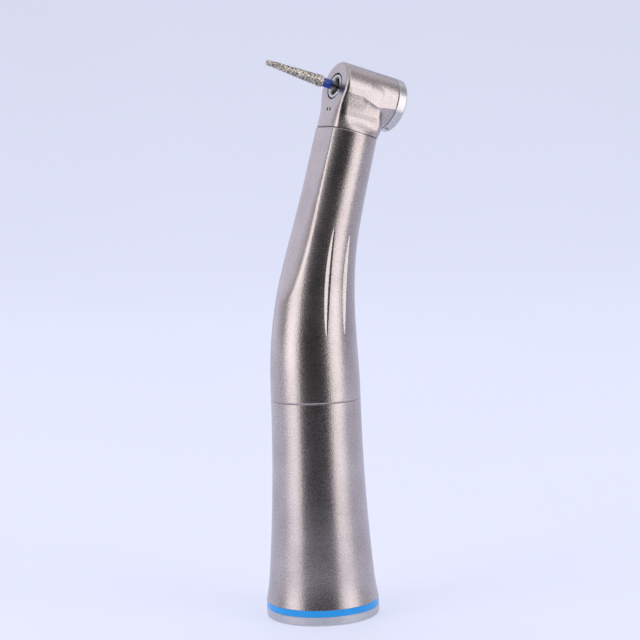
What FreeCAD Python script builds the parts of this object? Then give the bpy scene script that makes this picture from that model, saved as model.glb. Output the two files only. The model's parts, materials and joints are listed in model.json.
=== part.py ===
import FreeCAD, Part
import math
import os
import Sketcher

# Contra-angle dental handpiece standing on its rear collar. Millimetres; the rear axis is +Z,
# the neck leans towards +X and the bur points up and back towards -X. Y = 0 is the middle plane.
DIMS = {
    # outer shell
    "base_radius": 10.0, "collar_height": 1.56, "ring_height": 1.18, "edge_bevel": 0.3,
    "flare_top": 8.2, "flare_top_radius": 9.22, "sleeve_arc": 365.0, "flare_arc": 40.0,
    "seam_height": 38.6, "seam_radius": 7.92, "seam_bevel": 0.12, "skin": 1.04,
    "knee_height": 57.5, "lean": 16.0, "bend_length": 12.0, "neck_length": 35.8, "head_drop": 7.26,
    "neck_radius_b": 7.76, "neck_radius_c": 7.2, "neck_radius_d": 6.4, "neck_radius_e": 5.86,
    "neck_radius_f": 5.58, "neck_radius_g": 5.48,
    "facet_start": 4.8, "facet_end": 41.0, "facet_arc": 400.0,
    # head
    "bur_angle": 18.5, "head_front": 4.2, "head_back": 8.14, "cap_length": 1.86,
    "head_radius": 4.5, "cap_radius": 4.8, "head_bevel": 0.35, "stem_blend": 0.5, "notch_turn": -67.0,
    "notch_depth": 0.35, "notch_count": 4.0, "waist_radius": 4.4,
    "nose_hole": 2.38, "nose_radius": 2.12, "outlet_drop": 4.15, "outlet_gap": 1.0, "outlet_radius": 0.24,
    # socket and spine tube
    "mouth_radius": 7.9, "spigot_radius": 8.6, "spigot_height": 5.6, "socket_radius": 4.9,
    "socket_depth": 30.0, "spine_top": 54.2, "knee_bore": 5.0, "neck_bore": 3.55,
    "liner_radius": 2.5, "tube_radius": 0.4, "tube_side": 4.45, "fit": 0.02,
    # shafts, bearings and gears
    "rear_shaft": 1.5, "rear_race": 4.0, "rear_width": 3.0, "rear_ball": 0.75, "lower_bearing": 31.5,
    "upper_bearing": 50.0, "neck_shaft": 0.75, "neck_race": 2.0, "neck_width": 1.6, "neck_ball": 0.36,
    "spindle_front": 1.5875, "spindle_rear": 1.15, "head_race": 3.175, "head_width": 1.45,
    "head_ball": 0.42, "front_bearing": 2.03, "rear_bearing": -5.12,
    "teeth": 13.0, "knee_cone": 82.0, "knee_reach": 3.635, "knee_face": 1.2,
    "head_cone": 43.75, "head_reach": 2.53, "head_face": 0.7, "backlash": 0.06,
    # bur and button
    "shank_radius": 0.8, "bur_tip": 18.15, "grit_start": 6.8, "grit_radius": 1.08, "tip_radius": 0.5,
    "band_length": 1.7, "button_radius": 3.4, "button_travel": 0.8,
}

doc = FreeCAD.newDocument("handpiece")
sheet = doc.addObject("Spreadsheet::Sheet", "dims")
for row, (alias, value) in enumerate(DIMS.items(), start=1):
    sheet.set("A%d" % row, alias)
    sheet.set("B%d" % row, repr(value))
    sheet.setAlias("B%d" % row, alias)
doc.recompute()


class Size:
    """A length known both as a number and as the spreadsheet formula that gives it."""

    def __init__(self, value, text):
        self.value = value
        self.text = text

    def _with(self, other, sign, value):
        return Size(value, "(%s %s %s)" % (self.text, sign, size(other).text))

    def __add__(self, other):
        return self._with(other, "+", self.value + size(other).value)

    def __sub__(self, other):
        return self._with(other, "-", self.value - size(other).value)

    def __mul__(self, other):
        return self._with(other, "*", self.value * size(other).value)

    def __truediv__(self, other):
        return self._with(other, "/", self.value / size(other).value)

    def __radd__(self, other):
        return size(other) + self

    def __rsub__(self, other):
        return size(other) - self

    def __rmul__(self, other):
        return size(other) * self

    def __neg__(self):
        return size(0) - self


def size(value):
    if isinstance(value, Size):
        return value
    return Size(float(value), "%.6f" % value)


def dim(alias):
    return Size(DIMS[alias], "dims." + alias)


def sine(angle):
    return Size(math.sin(math.radians(angle.value)), "sin(%s * 1deg)" % angle.text)


def cosine(angle):
    return Size(math.cos(math.radians(angle.value)), "cos(%s * 1deg)" % angle.text)


def root(square):
    return Size(math.sqrt(square.value), "sqrt(%s)" % square.text)


# ---------------------------------------------------------------- the three drive axes
lean = dim("lean")
bur_angle = dim("bur_angle")
knee = (size(0), dim("knee_height"))
head = (dim("neck_length") * sine(lean), dim("knee_height") + dim("neck_length") * cosine(lean))


def along_neck(side, up):
    """The point (x, z) at `side` and `up` measured in the leaning neck's own axes."""
    return (knee[0] + side * cosine(lean) + up * sine(lean), knee[1] - side * sine(lean) + up * cosine(lean))


def on_face(down, depth=0.0):
    """The point (x, z) `down` the head's flat face from the bur axis and `depth` behind it."""
    out = dim("head_front") - depth
    return (head[0] - out * cosine(bur_angle) - down * sine(bur_angle),
            head[1] + out * sine(bur_angle) - down * cosine(bur_angle))


FRAMES = {
    "rear": (size(0), size(0), size(0)),
    "neck": (knee[0], knee[1], lean),
    "neck_down": (knee[0], knee[1], lean + 180),
    "knee": (knee[0], knee[1], size(0)),
    "head": (head[0], head[1], bur_angle - 90),
    "pinion": (head[0], head[1], lean),
}


# ---------------------------------------------------------------- feature helpers
def new_body(name, frame="rear"):
    body = doc.addObject("PartDesign::Body", name)
    body.Label = name
    x, z, turn = FRAMES[frame]
    body.Placement = FreeCAD.Placement(FreeCAD.Vector(x.value, 0, z.value),
                                       FreeCAD.Rotation(FreeCAD.Vector(0, 1, 0), turn.value))
    if frame != "rear":
        body.setExpression("Placement.Base.x", x.text)
        body.setExpression("Placement.Base.z", z.text)
        body.setExpression("Placement.Rotation.Angle", turn.text + " * 1deg")
    return body


def origin_part(body, role):
    for feature in body.Origin.OriginFeatures:
        if feature.Role == role:
            return feature
    raise ValueError(role)


def new_sketch(body, role="XZ_Plane", offset=None, turn=None, turn_axis=(0, 0, 1)):
    """A sketch on one of the body's origin planes, moved by `offset` and turned in the plane's own axes."""
    sketch = body.newObject("Sketcher::SketchObject", body.Name + "_sketch")
    sketch.AttachmentSupport = [(origin_part(body, role), "")]
    sketch.MapMode = "FlatFace"
    offset = offset or (size(0), size(0), size(0))
    turn = turn or size(0)
    place = FreeCAD.Placement(FreeCAD.Vector(*[item.value for item in offset]),
                              FreeCAD.Rotation(FreeCAD.Vector(*turn_axis), turn.value))
    sketch.AttachmentOffset = place
    for axis, item in zip("xyz", offset):
        if item.value:
            sketch.setExpression("AttachmentOffset.Base." + axis, item.text)
    if turn.value:
        sketch.setExpression("AttachmentOffset.Rotation.Angle", turn.text + " * 1deg")
    return sketch


def pin_point(sketch, index, end, x, y):
    for kind, item in (("DistanceX", x), ("DistanceY", y)):
        number = sketch.addConstraint(Sketcher.Constraint(kind, -1, 1, index, end, item.value))
        sketch.setExpression("Constraints[%d]" % number, item.text)


def outline(sketch, points, closed=True):
    """Lines through points (x, y); a third item is the radius of an arc to the next point.

    A positive radius puts the arc's centre on the left of the way to the next point.
    """
    points = [tuple(size(item) for item in point) for point in points]
    count = len(points) if closed else len(points) - 1
    last = None
    for number in range(count):
        here = points[number]
        there = points[(number + 1) % len(points)]
        a = FreeCAD.Vector(here[0].value, here[1].value, 0)
        b = FreeCAD.Vector(there[0].value, there[1].value, 0)
        first, second = 1, 2
        if len(here) == 3:
            radius = here[2]
            middle = (a + b) * 0.5
            left = FreeCAD.Vector(-(b - a).y, (b - a).x, 0).normalize()
            rise = math.sqrt(radius.value ** 2 - ((b - a).Length / 2) ** 2)
            centre = middle + left * math.copysign(rise, radius.value)
            start, stop = (a, b) if radius.value > 0 else (b, a)
            angles = [math.atan2((p - centre).y, (p - centre).x) for p in (start, stop)]
            if angles[1] < angles[0]:
                angles[1] += 2 * math.pi
            circle = Part.Circle(centre, FreeCAD.Vector(0, 0, 1), abs(radius.value))
            index = sketch.addGeometry(Part.ArcOfCircle(circle, angles[0], angles[1]), False)
            if radius.value < 0:
                first, second = 2, 1
        else:
            index = sketch.addGeometry(Part.LineSegment(a, b), False)
        pin_point(sketch, index, first, here[0], here[1])
        if not closed and number == count - 1:
            pin_point(sketch, index, second, there[0], there[1])
        if last is not None:
            sketch.addConstraint(Sketcher.Constraint("Coincident", last[0], last[1], index, first))
        else:
            origin = (index, first)
        if len(here) == 3:
            length = here[2] if here[2].value > 0 else -here[2]
            rule = sketch.addConstraint(Sketcher.Constraint("Radius", index, length.value))
            sketch.setExpression("Constraints[%d]" % rule, length.text)
        last = (index, second)
    if closed:
        sketch.addConstraint(Sketcher.Constraint("Coincident", last[0], last[1], origin[0], origin[1]))
    return sketch


def disc(sketch, x, y, radius):
    x, y, radius = size(x), size(y), size(radius)
    circle = Part.Circle(FreeCAD.Vector(x.value, y.value, 0), FreeCAD.Vector(0, 0, 1), radius.value)
    index = sketch.addGeometry(circle, False)
    pin_point(sketch, index, 3, x, y)
    rule = sketch.addConstraint(Sketcher.Constraint("Radius", index, radius.value))
    sketch.setExpression("Constraints[%d]" % rule, radius.text)
    return sketch


def add(body, kind, sketch, **settings):
    feature = body.newObject("PartDesign::" + kind, body.Name + "_" + kind.lower())
    feature.Profile = sketch
    for name, value in settings.items():
        setattr(feature, name, value)
    body.Tip = feature
    return feature


def turned(body, points, cut=False, offset=None, turn=None):
    """Turn an outline (radius, height) about the sketch's own upright axis."""
    sketch = outline(new_sketch(body, "XZ_Plane", offset, turn), points)
    return add(body, "Groove" if cut else "Revolution", sketch, ReferenceAxis=(sketch, ["V_Axis"]), Angle=360)


def slot(body, points, width, role="XZ_Plane", offset=None, turn=None):
    """Cut an outline straight through, centred on its plane."""
    width = size(width)
    sketch = outline(new_sketch(body, role, offset, turn), points)
    feature = add(body, "Pocket", sketch, Length=width.value, SideType="Symmetric")
    feature.setExpression("Length", width.text)
    return feature


def box_points(x0, x1, y0, y1):
    return [(x0, y0), (x1, y0), (x1, y1), (x0, y1)]


def repeated(body, feature, count):
    count = size(count)
    pattern = body.newObject("PartDesign::PolarPattern", body.Name + "_pattern")
    pattern.Originals = [feature]
    pattern.Axis = (origin_part(body, "Z_Axis"), [""])
    pattern.Angle = 360
    pattern.Occurrences = int(count.value)
    pattern.setExpression("Occurrences", count.text)
    body.Tip = pattern
    return pattern


def ring(name, frame, inner, outer, low, high, bevel=0.0):
    body = new_body(name, frame)
    inner, outer, low, high, bevel = size(inner), size(outer), size(low), size(high), size(bevel)
    points = [(inner, low), (outer, low), (outer, high), (inner, high)]
    if bevel.value:
        points = [(inner, low), (outer - bevel, low), (outer, low + bevel), (outer, high - bevel),
                  (outer - bevel, high), (inner, high)]
    turned(body, points)
    return body


# ---------------------------------------------------------------- outer shell
fit = dim("fit")
collar_top = dim("collar_height")
ring_top = collar_top + dim("ring_height")
seam = dim("seam_height")
bevel = dim("edge_bevel")
seam_bevel = dim("seam_bevel")
base = dim("base_radius")
spigot = dim("spigot_radius")
mouth = dim("mouth_radius")
spine_outer = dim("seam_radius") - dim("skin")
spigot_top = dim("spigot_height")
knee_bore = dim("knee_bore")
neck_bore = dim("neck_bore")

collar = new_body("end_collar")
turned(collar, [(mouth + 0.35, 0), (base - bevel, 0, bevel), (base, bevel), (base, collar_top - 0.06),
                (base - 0.06, collar_top), (spigot - fit, collar_top), (spigot - fit, spigot_top),
                (mouth, spigot_top), (mouth, 0.35)])

colour_ring = new_body("colour_ring")
turned(colour_ring, [(spigot, collar_top), (base - 0.08, collar_top), (base - 0.04, collar_top + 0.05),
                     (base - 0.04, ring_top - 0.05), (base - 0.08, ring_top), (spigot, ring_top)])

rear_sleeve = new_body("rear_sleeve")
turned(rear_sleeve, [(spigot, ring_top), (base - 0.06, ring_top), (base - 0.02, ring_top + 0.05, -dim("flare_arc")),
                     (dim("flare_top_radius"), dim("flare_top"), -dim("sleeve_arc")),
                     (dim("seam_radius"), seam - seam_bevel), (dim("seam_radius") - seam_bevel, seam),
                     (spine_outer + fit, seam), (spine_outer + fit, spigot_top + 0.4),
                     (spigot, spigot_top + 0.4)])

# The neck sleeve: circles along an axis that bends from upright to the lean.
neck_sleeve = new_body("neck_sleeve")
bend_arc = dim("bend_length") / (sine(lean / 2) / cosine(lean / 2))
bend_foot = dim("knee_height") - dim("bend_length")
neck_end = dim("neck_length") - dim("head_drop")


def bend_station(part, radius):
    turn = lean * part
    return (bend_arc - bend_arc * cosine(turn), bend_foot + bend_arc * sine(turn), turn, radius)


def straight_station(up, radius):
    x, z = along_neck(size(0), up)
    return (x, z, lean, radius)


stations = [
    (size(0), seam + seam_bevel, size(0), dim("seam_radius")),
    bend_station(0.0, dim("neck_radius_b")),
    bend_station(1.0 / 3, dim("neck_radius_c")),
    bend_station(2.0 / 3, dim("neck_radius_d")),
    bend_station(1.0, dim("neck_radius_e")),
    straight_station(dim("bend_length") + (neck_end - dim("bend_length")) / 2, dim("neck_radius_f")),
    straight_station(neck_end - 0.1, dim("neck_radius_g")),
]
sections = []
for x, z, turn, radius in stations:
    sketch = new_sketch(neck_sleeve, "XY_Plane", (x, size(0), z), turn, (0, 1, 0))
    sections.append(disc(sketch, 0, 0, radius))
loft = add(neck_sleeve, "AdditiveLoft", sections[0])
loft.Sections = sections[1:]
turned(neck_sleeve, [(0, seam), (dim("seam_radius") - seam_bevel, seam),
                     (dim("seam_radius"), seam + seam_bevel), (dim("seam_radius"), seam + seam_bevel + 0.02),
                     (0, seam + seam_bevel + 0.02)])
neck_end_x, neck_end_z = along_neck(size(0), neck_end)


def cut_facet(body):
    """The flat run of the bur side, hollowed a little below the head."""
    top = on_face(size(-12))
    start = on_face(dim("facet_start"))
    end = on_face(dim("facet_end"))
    far = head[0] - 30
    slot(body, [top, (start[0], start[1], -dim("facet_arc")), end, (far, end[1]), (far, top[1])], 30)


cut_facet(neck_sleeve)
bore = knee_bore
turned(neck_sleeve, [(0, seam - 1), (spine_outer + fit, seam - 1), (spine_outer + fit, seam + 5),
                     (bore, seam + 6.5), (bore, knee[1] - 1), (0, knee[1] - 1)], cut=True)
turned(neck_sleeve, [(0, -3), (bore, -3), (bore, 3.2), (neck_bore, 7), (neck_bore, neck_end + 1), (0, neck_end + 1)],
       cut=True, offset=(knee[0], knee[1], size(0)), turn=-lean)

# Two crescent finger grooves on each flank: wide ring cutters that dip in at the middle only.
FLUTE = 0.45
FLUTE_LINES = (((-1.23, -7.50, 50.0), (-0.15, -6.42, 59.5), (1.94, -5.70, 69.0)),
               ((2.40, -7.23, 50.1), (3.20, -6.24, 58.8), (4.97, -5.56, 67.6)))
for low, middle, high in FLUTE_LINES:
    above = FreeCAD.Vector(0, -FLUTE, 0)
    ends = [FreeCAD.Vector(*low) + above, FreeCAD.Vector(*high) + above]
    arc = Part.Arc(ends[0], FreeCAD.Vector(*middle) + above * 0.2, ends[1]).toShape().Curve
    axis = (ends[0] - arc.Center).cross(ends[1] - arc.Center)
    cutter = neck_sleeve.newObject("PartDesign::SubtractiveTorus", "flute")
    cutter.Radius1 = arc.Radius
    cutter.Radius2 = FLUTE
    cutter.AttachmentSupport = [(origin_part(neck_sleeve, "XY_Plane"), "")]
    cutter.MapMode = "FlatFace"
    cutter.AttachmentOffset = FreeCAD.Placement(arc.Center, FreeCAD.Rotation(FreeCAD.Vector(0, 0, 1), axis))
    mirror = neck_sleeve.newObject("PartDesign::Mirrored", "flute_mirror")
    mirror.Originals = [cutter]
    mirror.MirrorPlane = (origin_part(neck_sleeve, "XZ_Plane"), [""])
    neck_sleeve.Tip = mirror

# ---------------------------------------------------------------- head shell
stem_turn = {"offset": (head[0], head[1], size(0)), "turn": -lean}
bore_turn = {"offset": (head[0], head[1], size(0)), "turn": 90 - bur_angle}
front = dim("head_front")
cap_front = dim("cap_length") - dim("head_back")
head_race = dim("head_race")
head_housing = new_body("head_housing")
stem_low = 0 - dim("head_drop")
turned(head_housing, [(0, stem_low), (dim("neck_radius_g"), stem_low, 7), (5.12, stem_low + 2.9, -9),
                      (dim("waist_radius"), -0.9), (0, -0.9)], **stem_turn)
turned(head_housing, [(0, cap_front + 0.04), (dim("cap_radius") - 0.05, cap_front + 0.04),
                      (dim("cap_radius"), cap_front + 0.1), (dim("head_radius"), front), (0, front)], **bore_turn)
cut_facet(head_housing)
doc.recompute()


def depths(edge):
    """How far points along an edge stand in front of the neck's meeting point, along the bur axis."""
    meeting = FreeCAD.Vector(head[0].value, 0, head[1].value)
    forward = FreeCAD.Vector(-cosine(bur_angle).value, 0, sine(bur_angle).value)
    return [(point - meeting).dot(forward) for point in edge.discretize(7)]


def in_junction(edge):
    """The long edges where the stem runs into the barrel."""
    reach = depths(edge)
    return (edge.Curve.TypeId == "Part::GeomBSplineCurve" and abs(edge.CenterOfMass.y) > 2.6
            and max(reach) - min(reach) > 4)


def on_rim(edge):
    """The outline of the flat face, from the barrel down both sides of the stem."""
    return edge.Curve.TypeId != "Part::GeomLine" and min(depths(edge)) > front.value - 0.16


def rounded(body, rule, radius):
    base_feature = body.Tip
    edges = ["Edge%d" % number for number, edge in enumerate(base_feature.Shape.Edges, start=1) if rule(edge)]
    feature = body.newObject("PartDesign::Fillet", body.Name + "_fillet")
    feature.Base = (base_feature, edges)
    feature.Radius = radius.value
    feature.setExpression("Radius", radius.text)
    body.Tip = feature
    doc.recompute()


rounded(head_housing, in_junction, dim("stem_blend"))
rounded(head_housing, on_rim, dim("head_bevel"))
seat = head_race + 0.015
turned(head_housing, [(0, -8), (3.66, -8), (3.66, -5.12), (seat, -5.12), (seat, 3.49), (dim("nose_hole"), 3.49),
                      (dim("nose_hole"), front + 1), (0, front + 1)], cut=True, **bore_turn)
turned(head_housing, [(0, stem_low - 1), (neck_bore, stem_low - 1), (neck_bore, stem_low + 2.3),
                      (dim("liner_radius") + fit, stem_low + 2.4), (dim("liner_radius") + fit, -3.4),
                      (2.15, -3.4), (2.15, 0), (0, 0)], cut=True, **stem_turn)
outlet_x, outlet_z = on_face(dim("outlet_drop"))
for side in (-1, 1):
    sketch = new_sketch(head_housing, "XY_Plane", (outlet_x, size(0), outlet_z), bur_angle - 90, (0, 1, 0))
    disc(sketch, 0, dim("outlet_gap") * (side * 0.5), dim("outlet_radius"))
    add(head_housing, "Pocket", sketch, Length=1.6)

back_cap = new_body("back_cap", "head")
back = 0 - dim("head_back")
button = dim("button_radius")
turned(back_cap, [(3.64, -5.14), (1.45, -5.14), (1.45, -5.75), (button + 0.05, -5.75), (button + 0.05, back + 0.2),
                  (button - 0.2, back + 0.2), (button - 0.2, back + 0.02), (dim("cap_radius") - 0.33, back),
                  (dim("cap_radius"), back + 0.34), (dim("cap_radius"), cap_front - 0.1),
                  (dim("cap_radius") - 0.05, cap_front - 0.04), (3.64, cap_front - 0.04)])
# Spanner notches round the cap's rim, open at its end.
notch_sketch = new_sketch(back_cap, "XY_Plane", (size(0), size(0), back - 0.1), dim("notch_turn"))
outline(notch_sketch, box_points(dim("cap_radius") - dim("notch_depth"), dim("cap_radius") + 1, -0.36, 0.36))
notch = add(back_cap, "Pocket", notch_sketch, Length=1.6, Reversed=True)
repeated(back_cap, notch, dim("notch_count"))

# ---------------------------------------------------------------- spine tube in the rear sleeve
spine = new_body("spine_tube")
web = dim("socket_depth")
race = dim("rear_race")
rear_top = dim("upper_bearing") + dim("rear_width")
shoulder = seam + 4.9
turned(spine, [(dim("socket_radius"), spigot_top), (spine_outer, spigot_top), (spine_outer, shoulder),
               (knee_bore - fit, shoulder), (knee_bore - fit, dim("spine_top")), (race, dim("spine_top")),
               (race, dim("lower_bearing")), (2.2, dim("lower_bearing")), (2.2, web), (dim("socket_radius"), web)])
slot(spine, box_points(-8, 0 - race - 0.06, shoulder, dim("spine_top") + 1), 2.3)
TUBE_GAP = 0.55
for side in (-1, 1):
    sketch = new_sketch(spine, "XY_Plane", (size(0), size(0), shoulder))
    disc(sketch, 0 - dim("tube_side"), TUBE_GAP * side, dim("tube_radius") + 0.01)
    add(spine, "Pocket", sketch, Length=6.0)

# Catch groove and split snap ring that hold the motor's nose.
SNAP_LOW, SNAP_HIGH = 12.0, 13.0
turned(spine, box_points(dim("socket_radius") - 0.5, dim("socket_radius") + 0.52, SNAP_LOW - 0.02, SNAP_HIGH + 0.02),
       cut=True)
snap_ring = ring("snap_ring", "rear", dim("socket_radius") - 0.12, dim("socket_radius") + 0.5, SNAP_LOW, SNAP_HIGH)
slot(snap_ring, box_points(0, 8, 11, 14), 2.4)

index_pin = new_body("index_pin")
pin_sketch = new_sketch(index_pin, "YZ_Plane", (size(0), size(8.6), 0 - dim("socket_radius") - 0.8))
disc(pin_sketch, 0, 0, 0.7)
add(index_pin, "Pad", pin_sketch, Length=1.3)


# ---------------------------------------------------------------- bearings
def bearing(name, frame, low, inner, outer, width, ball, count):
    """Outer ring, inner ring and a caged ball set, with true race grooves."""
    low, inner, outer, width, ball = size(low), size(inner), size(outer), size(width), size(ball)
    pitch = (inner + outer) / 2
    land = ball * 0.55
    middle = low + width / 2
    groove = ball + 0.012
    half = root(groove * groove - land * land)
    outer_ring = new_body(name + "_outer", frame)
    turned(outer_ring, [(outer, low), (outer, low + width), (pitch + land, low + width),
                        (pitch + land, middle + half, -groove), (pitch + land, middle - half), (pitch + land, low)])
    inner_ring = new_body(name + "_inner", frame)
    turned(inner_ring, [(inner, low), (pitch - land, low), (pitch - land, middle - half, -groove),
                        (pitch - land, middle + half), (pitch - land, low + width), (inner, low + width)])
    balls = new_body(name + "_balls", frame)
    turned(balls, box_points(pitch - ball * 0.28, pitch + ball * 0.28, middle - ball * 0.5, middle + ball * 0.5))
    sphere = balls.newObject("PartDesign::AdditiveSphere", name + "_ball")
    sphere.Radius = ball.value
    sphere.setExpression("Radius", ball.text)
    sphere.AttachmentSupport = [(origin_part(balls, "XY_Plane"), "")]
    sphere.MapMode = "FlatFace"
    sphere.AttachmentOffset = FreeCAD.Placement(FreeCAD.Vector(pitch.value, 0, middle.value), FreeCAD.Rotation())
    sphere.setExpression("AttachmentOffset.Base.x", pitch.text)
    sphere.setExpression("AttachmentOffset.Base.z", middle.text)
    repeated(balls, sphere, count)


rear_race = (dim("rear_shaft"), race, dim("rear_width"), dim("rear_ball"), 9)
bearing("rear_bearing", "rear", dim("lower_bearing"), *rear_race)
bearing("knee_bearing", "rear", dim("upper_bearing"), *rear_race)
neck_race = (dim("neck_shaft"), dim("neck_race"), dim("neck_width"), dim("neck_ball"), 8)
liner_low = size(7.6)
liner_high = dim("neck_length") - 3.9
bearing("neck_bearing", "neck", liner_low + 0.6, *neck_race)
bearing("pinion_bearing", "neck", liner_high - 0.3 - dim("neck_width"), *neck_race)
bearing("chuck_bearing", "head", dim("front_bearing"), dim("spindle_front"), head_race, dim("head_width"),
        dim("head_ball"), 11)
bearing("cap_bearing", "head", dim("rear_bearing"), dim("spindle_rear"), head_race, dim("head_width"),
        dim("head_ball"), 10)

ring("bearing_spacer", "rear", race - 0.6, race, dim("lower_bearing") + dim("rear_width"), dim("upper_bearing"))
ring("bearing_nut", "rear", 2.6, race, rear_top, rear_top + 1.0, 0.08)

# ---------------------------------------------------------------- liner in the neck
liner = new_body("neck_liner", "neck")
turned(liner, [(dim("neck_race"), liner_low), (neck_bore - fit, liner_low), (neck_bore - fit, liner_low + 1.2),
               (dim("liner_radius"), liner_low + 1.2), (dim("liner_radius"), liner_high),
               (1.3, liner_high), (1.3, liner_high - 0.3), (dim("neck_race"), liner_high - 0.3)])
slot(liner, box_points(-6, 0 - dim("liner_radius") - 0.04, liner_low - 1, liner_low + 2), 2.3)


# ---------------------------------------------------------------- gears
def bevel_gear(name, frame, cone, reach, face, hub_radius, hub_end, bore_radius, front_height):
    """A straight bevel gear below its cone point, with straight-sided gaps that shrink to that point."""
    teeth = dim("teeth")
    slope, rise = sine(cone), cosine(cone)
    module = 2 * reach * slope / teeth
    near = reach - face

    def cone_point(distance, height):
        lift = module * height * (distance / reach)
        return (distance * slope + lift * rise, lift * slope - distance * rise)

    tip_out = cone_point(reach, 0.8)
    tip_in = cone_point(near, 0.8)
    back_height = cone_point(reach, -1.9)[1]
    body = new_body(name, frame)
    turned(body, [(bore_radius, front_height), tip_in, tip_out, (tip_out[0], back_height),
                  (hub_radius, back_height), (hub_radius, hub_end), (bore_radius, hub_end)])
    angle = 20 + 90 * rise / teeth
    spread = sine(angle) / cosine(angle)
    cutters = []
    for distance in (reach * 1.25, near * 0.75):
        ratio = distance / reach
        half = module * ratio * (math.pi / 4) + dim("backlash") / 2 * ratio
        low, high = module * ratio, module * ratio * 1.15
        sketch = new_sketch(body, "YZ_Plane", (size(0), 0 - distance * rise, distance * slope), 90 - cone, (1, 0, 0))
        outline(sketch, [(low * spread - half, 0 - low), (half - low * spread, 0 - low),
                         (half + high * spread, high), (0 - half - high * spread, high)])
        cutters.append(sketch)
    gap = add(body, "SubtractiveLoft", cutters[0], Ruled=True)
    gap.Sections = cutters[1:]
    repeated(body, gap, teeth)
    return body


knee_gear = (dim("knee_cone"), dim("knee_reach"), dim("knee_face"), 2.3)
bevel_gear("knee_gear_rear", "knee", *knee_gear, -3.2, dim("rear_shaft"), -0.62)
bevel_gear("knee_gear_front", "neck_down", *knee_gear, -4.2, dim("neck_shaft"), -0.62)
head_gear = (dim("head_cone"), dim("head_reach"), dim("head_face"))
bevel_gear("head_pinion", "pinion", *head_gear, 1.3, -3.35, dim("neck_shaft"), -1.6)
bevel_gear("spindle_gear", "head", *head_gear, 1.85, -3.3, dim("spindle_rear"), -1.5)

# ---------------------------------------------------------------- shafts
def stepped(name, frame, points):
    body = new_body(name, frame)
    turned(body, [(0, points[0][1])] + points + [(0, points[-1][1])])
    return body


shaft = dim("rear_shaft")
dog_low, dog_high = size(22.0), size(28.5)
stepped("rear_shaft", "rear", [(shaft - 0.2, dog_low + 3), (shaft, dog_low + 3.2), (shaft, dim("lower_bearing") - 0.6),
                               (2.05, dim("lower_bearing") - 0.6), (2.05, dim("lower_bearing")),
                               (shaft, dim("lower_bearing")), (shaft, knee[1] - 0.9), (shaft - 0.2, knee[1] - 0.7)])
drive_dog = new_body("drive_dog")
turned(drive_dog, [(shaft, dog_low + 3), (shaft, dog_high), (2.1, dog_high), (2.5, dog_high - 0.6),
                   (2.5, dog_low + 0.2), (2.3, dog_low), (1.4, dog_low), (1.4, dog_low + 3)])
slot(drive_dog, box_points(-3, 3, dog_low - 1, dog_low + 2.4), 1.6)

neck_pin = dim("neck_shaft")
neck_tip = dim("neck_length") - 1.75
stepped("neck_shaft", "neck", [(neck_pin - 0.1, 0.75), (neck_pin, 0.85), (neck_pin, neck_tip - 0.1),
                               (neck_pin - 0.1, neck_tip)])

nose = dim("nose_radius")
spindle_front, spindle_rear = dim("spindle_front"), dim("spindle_rear")
shank_bore = dim("shank_radius") + 0.04
front_seat = dim("front_bearing")
chuck_floor = front_seat - 0.15
spindle = new_body("chuck_spindle", "head")
turned(spindle, [(0.3, -5.4), (spindle_rear, -5.4), (spindle_rear, front_seat - 0.25), (1.8, front_seat - 0.2),
                 (1.8, front_seat), (spindle_front, front_seat), (spindle_front, 3.55), (nose, 3.62),
                 (nose, 4.14), (nose - 0.06, 4.2), (1.66, 4.2), (1.6, 4.1), (1.36, 3.5), (1.36, chuck_floor),
                 (shank_bore, chuck_floor), (shank_bore, -4.7), (0.3, -4.7)])

collet = new_body("collet", "head")
turned(collet, [(shank_bore - 0.02, chuck_floor), (1.35, chuck_floor), (1.35, 3.45), (1.2, 3.7),
                (shank_bore + 0.1, 3.7), (shank_bore - 0.02, 3.6)])
collet_slit = slot(collet, box_points(0, 2, chuck_floor + 0.5, 4.5), 0.14)
repeated(collet, collet_slit, 3)

# ---------------------------------------------------------------- push button
travel = dim("button_travel")
button_face = back + 0.2
button_body = new_body("push_button", "head")
turned(button_body, [(0, button_face - 0.32), (button - 0.9, button_face - 0.3), (button - 0.3, button_face - 0.12),
                     (button - 0.26, button_face), (button, button_face + 0.02), (button, button_face + 1.1),
                     (button - 0.35, button_face + 1.1), (button - 0.35, button_face + 0.62),
                     (0, button_face + 0.62)])
stepped("release_pin", "head", [(0.75, button_face + 0.62), (0.75, -5.45 - travel), (0.7, -5.4 - travel)])

spring = new_body("button_spring", "head")
spring_low, spring_high = button_face + 0.62, size(-5.75)
WIRE = 0.13
wire = disc(new_sketch(spring, "XZ_Plane"), 2.35, spring_low + WIRE + 0.01, WIRE)
coil = spring.newObject("PartDesign::AdditiveHelix", "spring_coil")
coil.Profile = wire
coil.ReferenceAxis = (wire, ["V_Axis"])
coil.Mode = "height-turns-angle"
coil.Height = (spring_high - spring_low).value - 2 * WIRE - 0.02
coil.setExpression("Height", (spring_high - spring_low - 2 * WIRE - 0.02).text)
coil.Turns = 2.5
coil.Angle = 0
spring.Tip = coil

# ---------------------------------------------------------------- bur
band_low = dim("grit_start") - dim("band_length")
shank = dim("shank_radius")
tip = dim("bur_tip")
grit = dim("grit_radius")
point = dim("tip_radius")
stepped("bur_shank", "head", [(shank - 0.1, -4.5), (shank, -4.4), (shank, band_low), (shank - 0.12, band_low),
                              (shank - 0.12, dim("grit_start")), (shank - 0.2, dim("grit_start")),
                              (shank - 0.2, dim("grit_start") + 0.5)])
ring("bur_band", "head", shank - 0.12, shank + 0.02, band_low, dim("grit_start"))
bur_head = new_body("bur_diamond", "head")
turned(bur_head, [(shank - 0.2, dim("grit_start")), (grit - 0.12, dim("grit_start")), (grit, dim("grit_start") + 0.12),
                  (point, tip - point, point), (0, tip), (0, dim("grit_start") + 0.5),
                  (shank - 0.2, dim("grit_start") + 0.5)])

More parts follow.
